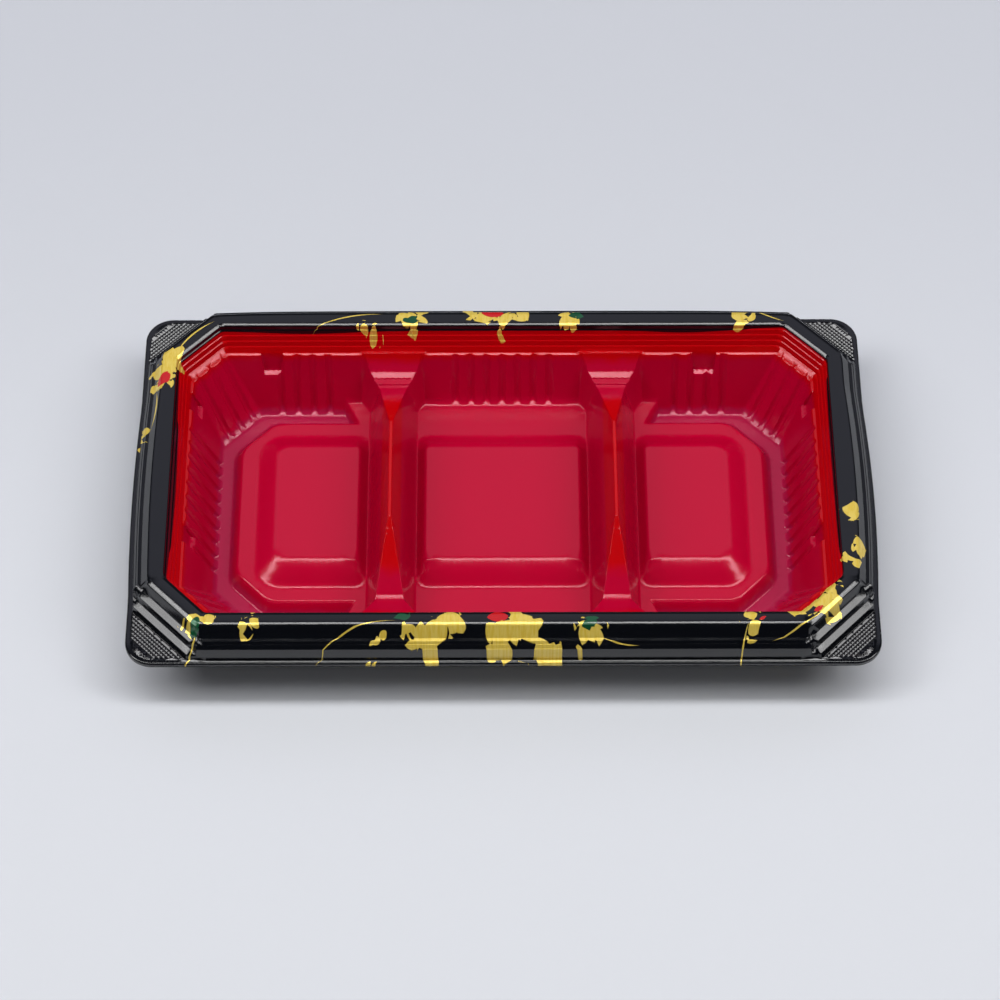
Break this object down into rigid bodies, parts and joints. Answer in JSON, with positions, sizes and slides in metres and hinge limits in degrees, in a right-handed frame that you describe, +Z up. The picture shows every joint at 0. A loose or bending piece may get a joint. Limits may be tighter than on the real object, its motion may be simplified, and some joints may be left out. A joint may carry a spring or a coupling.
{
  "type": "bento container",
  "caption": "Rectangular formed lunch tray with a stepped rim, fluted walls and divided compartments with raised floors.",
  "frame": {"origin": "centre of the bounding box at the height of the surface that the tray stands on", "axes": "+X along the long side, +Y from the near long side to the far one, +Z up out of the opening"},
  "size_m": [0.23, 0.13, 0.0316],
  "materials": {
    "formed_sheet": "gloss black sheet",
    "red_film": "gloss red printed film"
  },
  "bodies": {
    "root": {"formed_sheet": "formed_sheet", "red_film": "red_film"}
  },
  "joints": []
}
